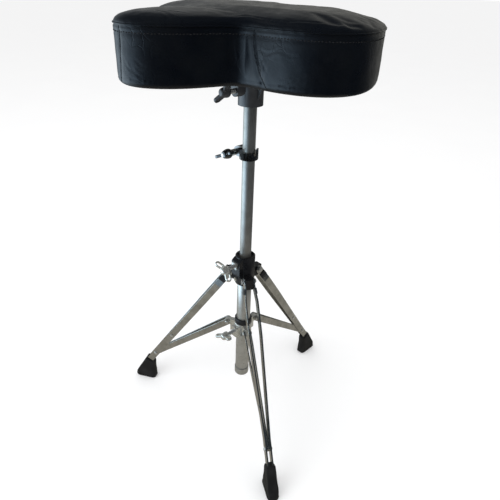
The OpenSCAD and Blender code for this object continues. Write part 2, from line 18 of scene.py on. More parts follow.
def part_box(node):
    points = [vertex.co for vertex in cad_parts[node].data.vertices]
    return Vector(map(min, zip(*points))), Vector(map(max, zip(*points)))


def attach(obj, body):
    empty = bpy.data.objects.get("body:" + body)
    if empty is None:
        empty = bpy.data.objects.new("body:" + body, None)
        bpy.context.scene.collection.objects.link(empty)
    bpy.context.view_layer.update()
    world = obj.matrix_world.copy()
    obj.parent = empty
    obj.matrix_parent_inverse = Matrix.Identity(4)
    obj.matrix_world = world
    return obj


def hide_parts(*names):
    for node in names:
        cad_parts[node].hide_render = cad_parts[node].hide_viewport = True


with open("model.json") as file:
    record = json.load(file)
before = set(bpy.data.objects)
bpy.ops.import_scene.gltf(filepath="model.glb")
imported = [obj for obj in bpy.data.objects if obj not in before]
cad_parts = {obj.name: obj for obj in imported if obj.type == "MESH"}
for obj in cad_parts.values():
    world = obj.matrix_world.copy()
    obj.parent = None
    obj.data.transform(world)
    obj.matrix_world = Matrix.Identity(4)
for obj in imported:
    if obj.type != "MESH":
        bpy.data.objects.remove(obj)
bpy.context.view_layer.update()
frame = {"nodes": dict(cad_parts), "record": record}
scene = bpy.context.scene
scene.view_settings.view_transform = "Standard"

# ---------------------------------------------------------------- measures
MM = 0.001
AXIS = (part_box("base_tube")[0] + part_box("base_tube")[1]) / 2  # the tube's axis
AXIS_Y = AXIS.y
SEAT_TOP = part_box("seat_top_cover")[1].z
SEAM_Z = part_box("seat_side_band")[1].z
SEAT_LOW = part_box("seat_side_band")[0].z
CAMERA_TURN = math.radians(44.67)  # the camera looks along +Y turned by this

SEAT_MEAN_R = 177 * MM
SEAT_WAVES = (-15, -9, 23, 20, 13)
SEAT_TURN = math.radians(-4.3)
HEM_R = 10 * MM  # rounding of the cushion's lower edge
WALL_INSET = 1 * MM  # how far the side stands behind the outline
STITCH_DROP = 8.5 * MM  # how far the row of stitches runs below the seam
DUST_INSET = 30 * MM  # how far the dust cloth stays inside the outline
BOOT_DROP = 5 * MM  # how far a boot's mouth stands below its CAD block

CAMERA_BACK = 0.7635
CAMERA_HEIGHT = 0.8514
CAMERA_PITCH = math.radians(30.55)
CAMERA_ROLL = math.radians(2.27)
CAMERA_YAW = math.radians(0.64)
CAMERA_SENSOR = 36.0
CAMERA_LENS = 33.1056


def studio(x, y, z):
    """A point given from the camera: x to the right, y away, from the axis."""
    c, s = math.cos(CAMERA_TURN), math.sin(CAMERA_TURN)
    return Vector((c * x - s * y, s * x + c * y + AXIS_Y, z))


def studio_dir(azimuth, elevation):
    """A direction: azimuth from straight behind the camera, right positive."""
    a, e = math.radians(azimuth), math.radians(elevation)
    v = studio(math.sin(a) * math.cos(e), -math.cos(a) * math.cos(e), math.sin(e))
    return v - Vector((0, AXIS_Y, 0))


# ---------------------------------------------------------------- materials
class Nodes:
    """A small helper that keeps node building readable."""

    def __init__(self, tree):
        self.tree = tree
        self.tree.nodes.clear()

    def add(self, kind, **values):
        n = self.tree.nodes.new(kind)
        for k, v in values.items():
            if hasattr(n, k):
                setattr(n, k, v)
            else:
                n.inputs[k.replace("_", " ")].default_value = v
        return n

    def link(self, a, b):
        self.tree.links.new(a, b)

    def math(self, op, a, b=None):
        n = self.tree.nodes.new("ShaderNodeMath")
        n.operation = op
        for i, v in enumerate((a, b)):
            if v is None:
                continue
            if isinstance(v, (int, float)):
                n.inputs[i].default_value = v
            else:
                self.link(v, n.inputs[i])
        return n.outputs[0]

    def remap(self, value, a, b, c, d, smooth=False):
        n = self.tree.nodes.new("ShaderNodeMapRange")
        n.interpolation_type = "SMOOTHSTEP" if smooth else "LINEAR"
        self.link(value, n.inputs["Value"])
        for name, v in zip(("From Min", "From Max", "To Min", "To Max"), (a, b, c, d)):
            n.inputs[name].default_value = v
        return n.outputs["Result"]

    def mix(self, factor, a, b):
        n = self.tree.nodes.new("ShaderNodeMix")
        n.data_type = "RGBA"
        self.link(factor, n.inputs["Factor"])
        for socket, v in ((n.inputs[6], a), (n.inputs[7], b)):
            if isinstance(v, (tuple, list)):
                socket.default_value = (*v, 1) if len(v) == 3 else v
            else:
                self.link(v, socket)
        return n.outputs[2]

    def coords(self, scale=(1, 1, 1), rotation=(0, 0, 0)):
        t = self.tree.nodes.new("ShaderNodeTexCoord")
        m = self.tree.nodes.new("ShaderNodeMapping")
        m.inputs["Scale"].default_value = scale
        m.inputs["Rotation"].default_value = rotation
        self.link(t.outputs["Object"], m.inputs["Vector"])
        return m.outputs["Vector"]

    def noise(self, vector, scale, detail=3.0, rough=0.5, distortion=0.0):
        n = self.add("ShaderNodeTexNoise", Scale=scale, Detail=detail, Roughness=rough)
        n.inputs["Distortion"].default_value = distortion
        self.link(vector, n.inputs["Vector"])
        return n.outputs["Fac"]

    def voronoi(self, vector, scale, feature="F1"):
        n = self.tree.nodes.new("ShaderNodeTexVoronoi")
        n.feature = feature
        n.inputs["Scale"].default_value = scale
        self.link(vector, n.inputs["Vector"])
        return n.outputs["Distance"]

    def bump(self, height, strength, distance, normal=None):
        n = self.add("ShaderNodeBump", Strength=strength, Distance=distance)
        self.link(height, n.inputs["Height"])
        if normal is not None:
            self.link(normal, n.inputs["Normal"])
        return n.outputs["Normal"]


def new_material(name, colour, metallic=0.0, **shader):
    """Starts a material: its node helper and its shader, with uniform values set."""
    m = bpy.data.materials.new(name)
    m.use_nodes = True
    m.diffuse_color = (*colour, 1)
    n = Nodes(m.node_tree)
    out = n.add("ShaderNodeOutputMaterial")
    s = n.add("ShaderNodeBsdfPrincipled")
    s.inputs["Base Color"].default_value = (*colour, 1)
    s.inputs["Metallic"].default_value = metallic
    for k, v in shader.items():
        s.inputs[k.replace("_", " ")].default_value = v
    n.link(s.outputs["BSDF"], out.inputs["Surface"])
    return m, n, s


def metal(name, bright, dark, rough=(0.1, 0.2), grain=(1, 1, 1), scratch=0.06, pits=0.0, metallic=1.0):
    """Plated or bare metal: cloudy tone, drawn grain, fine scratches and pits."""
    m, n, s = new_material(name, bright, metallic)
    soft = n.noise(n.coords(), 38.0, 4.0, 0.6)
    n.link(n.mix(n.remap(soft, 0.42, 0.72, 0, 1), bright, dark), s.inputs["Base Color"])
    lines = n.noise(n.coords(grain), 1300.0, 3.0, 0.55)
    wear = n.noise(n.coords(), 160.0, 5.0, 0.65)
    blend = n.math("MULTIPLY", lines, wear)
    n.link(n.remap(blend, 0.12, 0.42, rough[0], rough[1]), s.inputs["Roughness"])
    normal = n.bump(lines, scratch, 0.0001)
    if pits:
        normal = n.bump(n.noise(n.coords(), 620.0, 2.0, 0.5), pits, 0.0004, normal)
    n.link(normal, s.inputs["Normal"])
    return m


def moulded(name, colour, rough, grain_scale, grain, wear=0.0, spec=0.5, distance=0.0003):
    """Painted, cast or moulded surface with a fine skin and rubbed patches."""
    m, n, s = new_material(name, colour, 0.0)
    s.inputs["Specular IOR Level"].default_value = spec
    patch = n.noise(n.coords(), 42.0, 5.0, 0.62)
    light = tuple(min(1.0, c * 1.9 + 0.012) for c in colour)
    n.link(n.mix(n.remap(patch, 0.46, 0.8, 0, 0.55 + wear), colour, light), s.inputs["Base Color"])
    n.link(n.remap(patch, 0.3, 0.75, rough[0], rough[1]), s.inputs["Roughness"])
    skin = n.noise(n.coords(), grain_scale, 3.0, 0.6)
    n.link(n.bump(skin, grain, distance), s.inputs["Normal"])
    return m


def vinyl(name, creased):
    """Black upholstery vinyl: pebbled grain, soft folds and dry creases."""
    base, worn = (0.0010, 0.0020, 0.0042), (0.0034, 0.0046, 0.0066)
    m, n, s = new_material(name, base, 0.0, Specular_IOR_Level=0.30)
    v = n.coords()
    cloud = n.noise(v, 17.0, 4.0, 0.6)
    n.link(n.mix(n.remap(cloud, 0.4, 0.75, 0, 1), base, worn), s.inputs["Base Color"])
    n.link(n.remap(n.noise(v, 55.0, 4.0, 0.6), 0.3, 0.75, 0.25, 0.40), s.inputs["Roughness"])
    pebble = n.voronoi(n.coords(), 760.0, "SMOOTH_F1")
    normal = n.bump(pebble, 0.14, 0.00035)
    normal = n.bump(n.noise(v, 2100.0, 2.0, 0.5), 0.08, 0.0002, normal)
    if creased:
        warp = n.noise(v, 24.0, 5.0, 0.65, 0.8)
        bent = n.add("ShaderNodeVectorMath", operation="MULTIPLY_ADD")
        swirl = n.add("ShaderNodeTexNoise", Scale=34.0, Detail=3.0)
        n.link(v, swirl.inputs["Vector"])
        n.link(swirl.outputs["Color"], bent.inputs[0])
        bent.inputs[1].default_value = (0.022, 0.022, 0.03)
        n.link(v, bent.inputs[2])
        lines = n.voronoi(bent.outputs["Vector"], 64.0, "DISTANCE_TO_EDGE")
        fine = n.remap(lines, 0.0, 0.06, 1.0, 0.0, True)
        where = n.remap(n.noise(v, 13.0, 2.0, 0.5), 0.54, 0.66, 0.0, 1.0, True)
        crease = n.math("MULTIPLY", n.math("MULTIPLY", fine, where), warp)
        normal = n.bump(n.math("SUBTRACT", 1.0, crease), 0.35, 0.0008, normal)
        normal = n.bump(warp, 0.22, 0.0020, normal)
    n.link(normal, s.inputs["Normal"])
    return m


def woven(name, colour, thread=1500.0):
    """Thin non-woven dust cloth: crossed threads with a faint quilt of dots."""
    m, n, s = new_material(name, colour, 0.0, Sheen_Weight=0.25, Specular_IOR_Level=0.2)
    waves = []
    for turn in (0.0, math.pi / 2):
        w = n.add("ShaderNodeTexWave", Scale=thread / 6, Distortion=1.2, Detail=2.0)
        n.link(n.coords(rotation=(0, 0, turn)), w.inputs["Vector"])
        waves.append(w.outputs["Fac"])
    weave = n.math("MULTIPLY", *waves)
    light = tuple(c * 2.2 for c in colour)
    n.link(n.mix(weave, colour, light), s.inputs["Base Color"])
    n.link(n.remap(weave, 0, 1, 0.95, 0.8), s.inputs["Roughness"])
    n.link(n.bump(weave, 0.5, 0.0003), s.inputs["Normal"])
    return m


def plywood(name):
    m, n, s = new_material(name, (0.5, 0.34, 0.2), 0.0)
    rings = n.add("ShaderNodeTexWave", Scale=9.0, Distortion=7.0, Detail=4.0)
    n.link(n.coords((1, 0.12, 1)), rings.inputs["Vector"])
    n.link(n.mix(rings.outputs["Fac"], (0.56, 0.39, 0.23), (0.36, 0.22, 0.12)), s.inputs["Base Color"])
    fibre = n.noise(n.coords((1, 0.05, 1)), 900.0, 3.0, 0.6)
    n.link(n.remap(fibre, 0.3, 0.7, 0.55, 0.75), s.inputs["Roughness"])
    n.link(n.bump(fibre, 0.25, 0.0003), s.inputs["Normal"])
    return m


def thread_material(name):
    m, n, s = new_material(name, (0.004, 0.004, 0.005), 0.0, Specular_IOR_Level=0.25)
    twist = n.add("ShaderNodeTexWave", Scale=520.0, Distortion=0.5, Detail=1.0)
    n.link(n.coords(rotation=(0.4, 0.5, 0.6)), twist.inputs["Vector"])
    n.link(n.mix(twist.outputs["Fac"], (0.003, 0.003, 0.004), (0.02, 0.02, 0.022)), s.inputs["Base Color"])
    n.link(n.remap(twist.outputs["Fac"], 0, 1, 0.6, 0.8), s.inputs["Roughness"])
    n.link(n.bump(twist.outputs["Fac"], 0.4, 0.0002), s.inputs["Normal"])
    return m


MAT = {
    "vinyl": vinyl("vinyl_black", True),
    "trim": vinyl("vinyl_trim", False),
    "thread": thread_material("stitch_thread"),
    "dust": woven("dust_cloth", (0.012, 0.012, 0.013)),
    "plywood": plywood("plywood_board"),
    "zinc": metal("zinc_steel", (0.62, 0.62, 0.60), (0.42, 0.42, 0.40), (0.2, 0.36), pits=0.08, metallic=0.8),
    "casting": moulded("grey_casting", (0.024, 0.025, 0.027), (0.30, 0.46), 900.0, 0.35, 0.1, 0.6, 0.0004),
    "brass": metal("brass_shoe", (0.62, 0.46, 0.18), (0.42, 0.3, 0.1), (0.2, 0.35)),
    "knob": metal("knob_plate", (0.80, 0.80, 0.75), (0.58, 0.58, 0.52), (0.12, 0.22), pits=0.06,
                  metallic=0.80),
    "chrome": metal("chrome_plate", (0.80, 0.80, 0.78), (0.62, 0.62, 0.59), (0.05, 0.14), scratch=0.04),
    "satin": metal("satin_post", (0.36, 0.36, 0.34), (0.28, 0.28, 0.26), (0.34, 0.46), (1, 1, 0.03), 0.10,
                   metallic=0.86),
    "tube": metal("tube_plate", (0.60, 0.60, 0.57), (0.46, 0.46, 0.43), (0.26, 0.38), (1, 1, 0.03), 0.06,
                  metallic=0.85),
    "dark_chrome": metal("dark_chrome", (0.20, 0.20, 0.20), (0.10, 0.10, 0.10), (0.10, 0.24)),
    "black_paint": moulded("black_paint", (0.006, 0.006, 0.007), (0.22, 0.40), 700.0, 0.22, 0.1),
    "nylon": moulded("black_nylon", (0.008, 0.008, 0.009), (0.40, 0.55), 1200.0, 0.2),
    "white_nylon": moulded("white_nylon", (0.70, 0.69, 0.65), (0.40, 0.55), 1200.0, 0.2),
    "strip": metal("strip_steel", (0.66, 0.66, 0.63), (0.46, 0.46, 0.43), (0.12, 0.26), pits=0.05),
    "rubber": moulded("foot_rubber", (0.0075, 0.0075, 0.0082), (0.55, 0.78), 640.0, 0.45, 0.2, 0.35),
}
SLOT_MATERIAL = {
    "plywood": "plywood", "zinc_steel": "zinc", "dark_casting": "casting", "brass": "brass",
    "chrome": "chrome", "dark_chrome": "dark_chrome", "black_paint": "black_paint",
    "black_nylon": "nylon", "white_nylon": "white_nylon", "strip_steel": "strip",
}


# ---------------------------------------------------------------- mesh tools
class Builder:
    """Collects rings, tubes and lathes into one mesh."""

    def __init__(self):
        self.verts, self.faces = [], []

    def grid(self, rows, joined=False, cap_low=False, cap_high=False):
        """rows: equally long closed rings of points; joined ties the last to the first."""
        start, count = len(self.verts), len(rows[0])
        for row in rows:
            self.verts.extend(Vector(p) for p in row)
        n_rows = len(rows)
        for i in range(n_rows if joined else n_rows - 1):
            for j in range(count):
                a, b = start + i * count, start + (i + 1) % n_rows * count
                k = (j + 1) % count
                self.faces.append((a + j, a + k, b + k, b + j))
        if cap_low:
            self.faces.append(tuple(start + j for j in reversed(range(count))))
        if cap_high:
            self.faces.append(tuple(start + (n_rows - 1) * count + j for j in range(count)))

    def tube(self, path, radius, segments, up, closed=False, flat=1.0):
        """A tube along path; flat squeezes it along up, radius may be a list."""
        path = [Vector(p) for p in path]
        radii = radius if isinstance(radius, (list, tuple)) else [radius] * len(path)
        rows, n = [], len(path)
        for i, p in enumerate(path):
            a = path[i - 1] if i or closed else path[i]
            b = path[(i + 1) % n] if i < n - 1 or closed else path[i]
            t = (b - a).normalized()
            side = t.cross(up(i) if callable(up) else up).normalized()
            top = side.cross(t)
            rows.append([
                p + radii[i] * (math.cos(w) * side + math.sin(w) * flat * top)
                for w in (2 * math.pi * j / segments for j in range(segments))
            ])
        self.grid(rows, closed, not closed, not closed)

    def lathe(self, profile, segments):
        """profile: (radius, height) pairs from one end to the other."""
        rows = [
            [Vector((r * math.cos(w), r * math.sin(w), z))
             for w in (2 * math.pi * j / segments for j in range(segments))]
            for r, z in profile
        ]
        self.grid(rows, False, profile[0][0] > 1e-6, profile[-1][0] > 1e-6)

    def object(self, name, material, smooth_angle=50):
        mesh = bpy.data.meshes.new(name)
        mesh.from_pydata([tuple(v) for v in self.verts], [], self.faces)
        return finish_mesh(mesh, name, material, smooth_angle)


def finish_mesh(mesh, name, material, smooth_angle=50):
    """Cleans the normals, shades smooth and links an object."""
    bm = bmesh.new()
    bm.from_mesh(mesh)
    bmesh.ops.remove_doubles(bm, verts=bm.verts, dist=1e-6)
    bmesh.ops.recalc_face_normals(bm, faces=bm.faces)
    bm.to_mesh(mesh)
    bm.free()
    mesh.shade_smooth()
    mesh.set_sharp_from_angle(angle=math.radians(smooth_angle))
    mesh.materials.clear()
    mesh.materials.append(material)
    obj = bpy.data.objects.new(name, mesh)
    scene.collection.objects.link(obj)
    return obj


def modify(obj, kind, **values):
    m = obj.modifiers.new(kind.lower(), kind)
    for k, v in values.items():
        setattr(m, k, v)
    return m


def apply_all(obj):
    """Turns the modifiers' result into the object's own mesh."""
    bpy.context.view_layer.update()
    dg = bpy.context.evaluated_depsgraph_get()
    mesh = bpy.data.meshes.new_from_object(obj.evaluated_get(dg))
    obj.modifiers.clear()
    obj.data = mesh


def coordinates(mesh):
    co = np.zeros(len(mesh.vertices) * 3)
    mesh.vertices.foreach_get("co", co)
    return co.reshape(-1, 3)


def set_coordinates(mesh, co):
    mesh.vertices.foreach_set("co", np.asarray(co, float).ravel())
    mesh.update()


# ---------------------------------------------------------------- the saddle
def seat_radius(t):
    return SEAT_MEAN_R + sum(w * MM * math.cos((k + 1) * t) for k, w in enumerate(SEAT_WAVES))


def seat_local(t):
    r = seat_radius(t)
    return Vector((r * math.sin(t), -r * math.cos(t)))


def seat_turned(t, inset=0.0, share=1.0):
    """A point of the outline, t from the nose; share shrinks it to the middle."""
    p = seat_local(t)
    d = seat_local(t + 0.01) - seat_local(t - 0.01)
    p = (p - inset * Vector((d.y, -d.x)).normalized()) * share
    c, s = math.cos(SEAT_TURN), math.sin(SEAT_TURN)
    return Vector((c * p.x - s * p.y, s * p.x + c * p.y))


def seat_centre():
    """Where the outline's own origin stands, from the CAD cover's box."""
    low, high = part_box("seat_top_cover")
    points = [seat_turned(2 * math.pi * i / 360) for i in range(360)]
    xs, ys = [p.x for p in points], [p.y for p in points]
    return (low + high).xy / 2 - Vector((min(xs) + max(xs), min(ys) + max(ys))) / 2


SEAT_CENTRE = seat_centre()


def seat_point(t, inset=0.0, share=1.0):
    return seat_turned(t, inset, share) + SEAT_CENTRE


def seat_row(z, inset=0.0, share=1.0, count=240):
    return [(*seat_point(2 * math.pi * i / count, inset, share), z) for i in range(count)]


def cushion():
    """The stuffed saddle, blown up as cloth between its seam and its hem."""
    low, seam = SEAT_LOW, SEAM_Z
    under = low + 1 * MM
    rows = [seat_row(under, share=share) for share in (0.02, 0.3, 0.55, 0.75)]
    rows += [seat_row(under, 22 * MM), seat_row(under, WALL_INSET + HEM_R)]
    for degrees in (15, 30, 45, 60, 75, 90):
        a = math.radians(degrees)
        rows.append(seat_row(under + HEM_R * (1 - math.cos(a)), WALL_INSET + HEM_R * (1 - math.sin(a))))
    for z, inset in ((20, 1.0), (32, 0.9), (44, 0.9), (56, 0.9), (66, 0.7), (71, 0.4), (73, 0.1)):
        rows.append(seat_row(low + z * MM, inset * MM))
    crown = SEAT_TOP - seam
    for d, h in ((2, 0.25), (4, 0.40), (9, 0.61), (16, 0.76), (26, 0.87)):
        rows.append(seat_row(seam + h * crown, d * MM))
    for share, h in ((0.76, 0.92), (0.6, 0.95), (0.4, 0.97), (0.2, 0.98), (0.02, 0.98)):
        rows.append(seat_row(seam + h * crown, 4 * MM, share))
    b = Builder()
    b.grid(rows, cap_low=True, cap_high=True)
    seat = b.object("seat_cushion", MAT["vinyl"], 180)
    modify(seat, "REMESH", mode="VOXEL", voxel_size=4.5 * MM, use_smooth_shade=True)
    apply_all(seat)
    rest = coordinates(seat.data)

    near_seam = np.abs(rest[:, 2] - seam) < 3.2 * MM
    held = seat.vertex_groups.new(name="held")
    for i in np.where(near_seam & edge_mask(rest, 7 * MM) | (rest[:, 2] < low + 4.5 * MM))[0]:
        held.add([int(i)], 1.0, "REPLACE")
    cloth = modify(seat, "CLOTH").settings
    cloth.quality, cloth.mass = 5, 0.35
    cloth.tension_stiffness = cloth.compression_stiffness = 22
    cloth.shear_stiffness, cloth.bending_stiffness = 8, 1.2
    cloth.use_pressure, cloth.uniform_pressure_force = True, 4.0
    cloth.vertex_group_mass = "held"
    cloth.effector_weights.gravity = 0
    for f in range(1, 21):
        scene.frame_set(f)
    apply_all(seat)
    moved = coordinates(seat.data) - rest
    size = np.linalg.norm(moved, axis=1, keepdims=True)
    cap = np.where(rest[:, 2:3] > seam, 5.0, 3.0) * MM
    set_coordinates(seat.data, rest + moved * np.minimum(1, cap / np.maximum(size, 1e-9)))
    scene.frame_set(1)

    modify(seat, "SUBSURF", levels=1, render_levels=1)
    apply_all(seat)
    shape_leather(seat)
    seat.data.shade_smooth()
    seat.data.materials.clear()
    seat.data.materials.append(MAT["vinyl"])
    return seat


def polar(co):
    """Angle from the nose, distance from the middle and the outline's radius there."""
    c, s = math.cos(-SEAT_TURN), math.sin(-SEAT_TURN)
    x, y = co[:, 0] - SEAT_CENTRE.x, co[:, 1] - SEAT_CENTRE.y
    x, y = c * x - s * y, s * x + c * y
    t = np.arctan2(x, -y)
    r = SEAT_MEAN_R + sum(w * MM * np.cos((k + 1) * t) for k, w in enumerate(SEAT_WAVES))
    return t, np.hypot(x, y), r


def edge_mask(co, width):
    _, rho, r = polar(co)
    return r - rho < width


# Upright joins of the band: degrees from the nose at the seam and at the hem
BOXING_SEAMS = ((1.0, -1.5), (52.0, 59.0), (-52.0, -59.0), (176.0, 180.0))
# Creases of the band: degrees from the nose and mm below the seam, at both ends,
# then how far the middle sags and the depth of the fold
CREASES = (
    (55, 22, 61, 26, 2, 0.8), (60, 26, 66, 23, -2, 0.7), (62, 21, 69, 26, 1, 0.6),
    (56, 30, 59, 48, 2, 0.8), (59, 33, 57, 62, -2, 0.6), (61, 30, 58, 40, 1, 0.6),
    (64, 62, 70, 52, -1, 0.7), (66, 64, 72, 56, -1, 0.7), (68, 52, 72, 46, 1, 0.6),
    (2, 36, 6, 52, 3, 0.8), (5, 44, 9, 58, 3, 0.8), (3, 56, 9, 64, 2, 0.7), (7, 38, 10, 46, 1, 0.6),
    (78, 12, 80, 30, 2, 0.5), (20, 14, 22, 34, 2, 0.5), (40, 12, 42, 40, 2, 0.6), (31, 50, 36, 60, 2, 0.5),
    (100, 20, 104, 44, 3, 0.6), (126, 14, 131, 38, -2, 0.7), (150, 40, 157, 50, 3, 0.7),
    (-20, 20, -17, 44, 2, 0.6), (-44, 30, -38, 52, 3, 0.8), (-63, 16, -60, 46, 2, 0.8),
    (-95, 44, -88, 56, 2, 0.7), (-128, 18, -124, 40, 3, 0.7), (-160, 34, -152, 48, 2, 0.7),
)
# Creases of the top: degrees from the nose and mm in from the seam
TOP_CREASES = (
    (4, 40, 14, 24, 3, 0.7), (8, 46, 17, 33, 2, 0.6), (12, 26, 16, 14, 1, 0.6), (40, 12, 66, 15, 4, 0.9),
    (66, 15, 84, 12, 3, 0.7), (-40, 14, -58, 18, 3, 0.8), (120, 18, 138, 14, 2, 0.6),
    (160, 60, 176, 44, 5, 0.5), (96, 70, 106, 52, 4, 0.5), (-110, 40, -96, 30, 3, 0.6),
    (-150, 22, -138, 34, 3, 0.6),
)


def crease_push(t, depth, rho, creases, width):
    """Grooves with raised lips; depth is what a crease's second number counts."""
    push = np.zeros(len(t))
    for a0, d0, a1, d1, sag, fold in creases:
        best = np.full(len(t), 1.0)
        where = np.zeros(len(t))
        for i in range(15):
            k = i / 14
            a = math.radians(a0 + (a1 - a0) * k)
            wobble = 0.8 * noise.noise(Vector((a0 * 0.7, k * 5, d0)))
            d = (d0 + (d1 - d0) * k + sag * math.sin(math.pi * k) + wobble) * MM
            away = np.hypot(np.angle(np.exp(1j * (t - a))) * rho, depth - d)
            closer = away < best
            best = np.where(closer, away, best)
            where = np.where(closer, math.sin(math.pi * (0.12 + 0.76 * k)), where)
        lips = 0.55 * np.exp(-(((best - 2.3 * width) / (1.1 * width)) ** 2))
        push += 0.7 * fold * MM * where * (lips - np.exp(-((best / width) ** 2)))
    return push


def hold_hem(co, edge):
    """Keeps the rounded lower edge clear of the board behind it."""
    inward, up = edge - (WALL_INSET + HEM_R), co[:, 2] - (SEAT_LOW + 1 * MM + HEM_R)
    r = np.hypot(inward, up)
    corner = (inward < 0) & (up < 0) & (r < HEM_R)
    scale = np.where(corner, HEM_R / np.maximum(r, 1e-6), 1)
    outward_xy = co[:, :2] - np.array(SEAT_CENTRE)
    outward_xy /= np.maximum(np.linalg.norm(outward_xy, axis=1, keepdims=True), 1e-6)
    co[:, :2] += outward_xy * (-inward * (scale - 1))[:, None]
    co[:, 2] += up * (scale - 1)
    flat = (inward >= 0) & (up < 0)
    co[flat, 2] = np.minimum(co[flat, 2], SEAT_LOW + 1 * MM)
    return co


def shape_leather(seat):
    """Presses in the seams, and adds the slack folds of worn vinyl."""
    mesh = seat.data
    co = coordinates(mesh)
    t, rho, r = polar(co)
    co = hold_hem(co, r - rho)
    set_coordinates(mesh, co)
    normals = np.zeros(len(co) * 3)
    mesh.vertex_normals.foreach_get("vector", normals)
    normals = normals.reshape(-1, 3)
    z = co[:, 2]
    edge = r - rho
    push = np.zeros(len(co))
    wall = (z > SEAT_LOW + 6 * MM) & (z < SEAM_Z - 2 * MM)
    # the stitched row under the top seam draws the band in a little
    push -= 0.7 * MM * np.exp(-(((z - (SEAM_Z - STITCH_DROP)) / (2.6 * MM)) ** 2)) * (edge < 12 * MM)
    push -= 1.1 * MM * np.exp(-(((z - (SEAM_Z - 1.5 * MM)) / (1.8 * MM)) ** 2)) * (edge < 9 * MM)
    # the upright joins of the band
    for top, bottom in BOXING_SEAMS:
        k = np.clip((SEAM_Z - z) / (SEAM_Z - SEAT_LOW), 0, 1)
        line = np.radians(top + (bottom - top) * k ** 2)
        away = np.angle(np.exp(1j * (t - line))) * rho
        push -= wall * 0.7 * MM * np.exp(-((away / (1.7 * MM)) ** 2))
        push += wall * 0.25 * MM * np.exp(-(((np.abs(away) - 6 * MM) / (3 * MM)) ** 2))
    push += wall * crease_push(t, SEAM_Z - z, rho, CREASES, 1.0 * MM)
    above = z > SEAM_Z + 1 * MM
    push += above * crease_push(t, edge, rho, TOP_CREASES, 1.4 * MM)
    # slack folds: broad dents in the band, soft rolls along the top's rim
    for i in range(len(co)):
        p = Vector(co[i])
        if wall[i]:
            push[i] += 0.9 * MM * noise.noise(p * 21.0) + 0.3 * MM * noise.noise(p * 62.0)
        elif z[i] >= SEAM_Z - 2 * MM:
            rim = math.exp(-((edge[i] - 17 * MM) / (9 * MM)) ** 2)
            push[i] += (0.7 * rim + 0.2) * MM * noise.noise(Vector((t[i] * 5.2, edge[i] * 38, 3.7)))
            push[i] += 0.7 * MM * noise.noise(p * 12.0)
    # the hem's pleats on the underside
    hem = (z < SEAT_LOW + 3 * MM) & (edge > 15 * MM) & (edge < 30 * MM)
    push += hem * 0.5 * MM * np.abs(np.sin(t * 34 + 2.0 * np.sin(t * 5)))
    set_coordinates(mesh, co + normals * push[:, None])


def surface_finder(obj):
    bm = bmesh.new()
    bm.from_mesh(obj.data)
    tree = BVHTree.FromBMesh(bm)
    bm.free()

    def find(p):
        """The closest point of the surface, and its normal."""
        place, normal, _, _ = tree.find_nearest(Vector(p))
        return place, normal
    return find


def outline_lengths(count=3000):
    """Angles at even steps of length along the outline."""
    ts = np.linspace(0, 2 * math.pi, count + 1)
    pts = np.array([seat_point(float(t)) for t in ts])
    length = np.concatenate([[0], np.cumsum(np.linalg.norm(np.diff(pts, axis=0), axis=1))])
    return ts, length


def seam_lip(find):
    """The folded edge of the top panel, standing proud along the seam."""
    b = Builder()
    ts, length = outline_lengths()
    count = 420
    path, outs = [], []
    for i in range(count):
        t = float(np.interp(length[-1] * i / count, length, ts))
        p, q = seat_point(t, 0.4 * MM), seat_point(t, 5 * MM)
        place, _ = find((*p, SEAM_Z - 0.2 * MM))
        out = Vector((*(p - q).normalized(), 0))
        wave = 0.25 * MM * noise.noise(Vector((math.cos(t) * 9, math.sin(t) * 9, 1.3)))
        path.append(place + out * (0.25 * MM + wave) + Vector((0, 0, 0.3 * MM)))
        outs.append(out)
    b.tube(path, 1.35 * MM, 12, lambda i: (outs[i] * 0.35 + Vector((0, 0, 1))).normalized(), True, 0.75)
    return b.object("seat_seam_lip", MAT["trim"], 180)


def thread_blob(b, place, along, normal, length, width):
    """One sunk stitch: a short pillow with tapered ends."""
    side = along.cross(normal).normalized()
    rows = []
    for k in range(6):
        u = k / 5 * 2 - 1
        swell = math.sqrt(max(0.04, 1 - u * u * 0.96))
        c = place + along * (u * length / 2) + normal * (0.18 * MM * swell)
        rows.append([
            c + width / 2 * swell * (math.cos(w) * side + math.sin(w) * 0.8 * normal)
            for w in (2 * math.pi * j / 6 for j in range(6))
        ])
    b.grid(rows, cap_low=True, cap_high=True)


def stitches(find):
    """The row of stitches that holds the folded edge, all round the band."""
    b = Builder()
    ts, length = outline_lengths()
    pitch = 4.2 * MM
    for i in range(int(length[-1] / pitch)):
        t = float(np.interp(i * pitch, length, ts))
        t2 = float(np.interp(i * pitch + 1 * MM, length, ts))
        z = SEAM_Z - STITCH_DROP + 0.25 * MM * math.sin(i * 2.4)
        place, normal = find((*seat_point(t, 3 * MM), z))
        ahead, _ = find((*seat_point(t2, 3 * MM), z))
        along = ahead - place
        along = along.normalized() if along.length > 1e-6 else Vector((1, 0, 0))
        along = (along + Vector((0, 0, 0.10))).normalized()
        thread_blob(b, place, along, normal, 3.0 * MM, 1.4 * MM)
    return b.object("seat_stitches", MAT["thread"], 180)


def boxing_seams(find):
    """The upright joins of the side band, each a thin doubled edge."""
    b = Builder()
    for top, bottom in BOXING_SEAMS:
        for side in (-0.55, 0.55):
            path, ups = [], []
            for i in range(19):
                k = i / 18
                t = math.radians(top + (bottom - top) * k ** 2)
                z = SEAM_Z - 2 * MM + (SEAT_LOW + 7 * MM - SEAM_Z) * k
                d = seat_point(t + 0.01) - seat_point(t - 0.01)
                p = seat_point(t, 3 * MM) + d.normalized() * side * MM
                place, normal = find((*p, z))
                path.append(place + normal * 0.12 * MM)
                ups.append(normal)
            radii = [0.62 * MM * min(1, 0.35 + 3 * min(i, 18 - i) / 18) for i in range(19)]
            b.tube(path, radii, 8, lambda i, u=ups: u[i], flat=0.8)
    return b.object("seat_band_joins", MAT["trim"], 180)


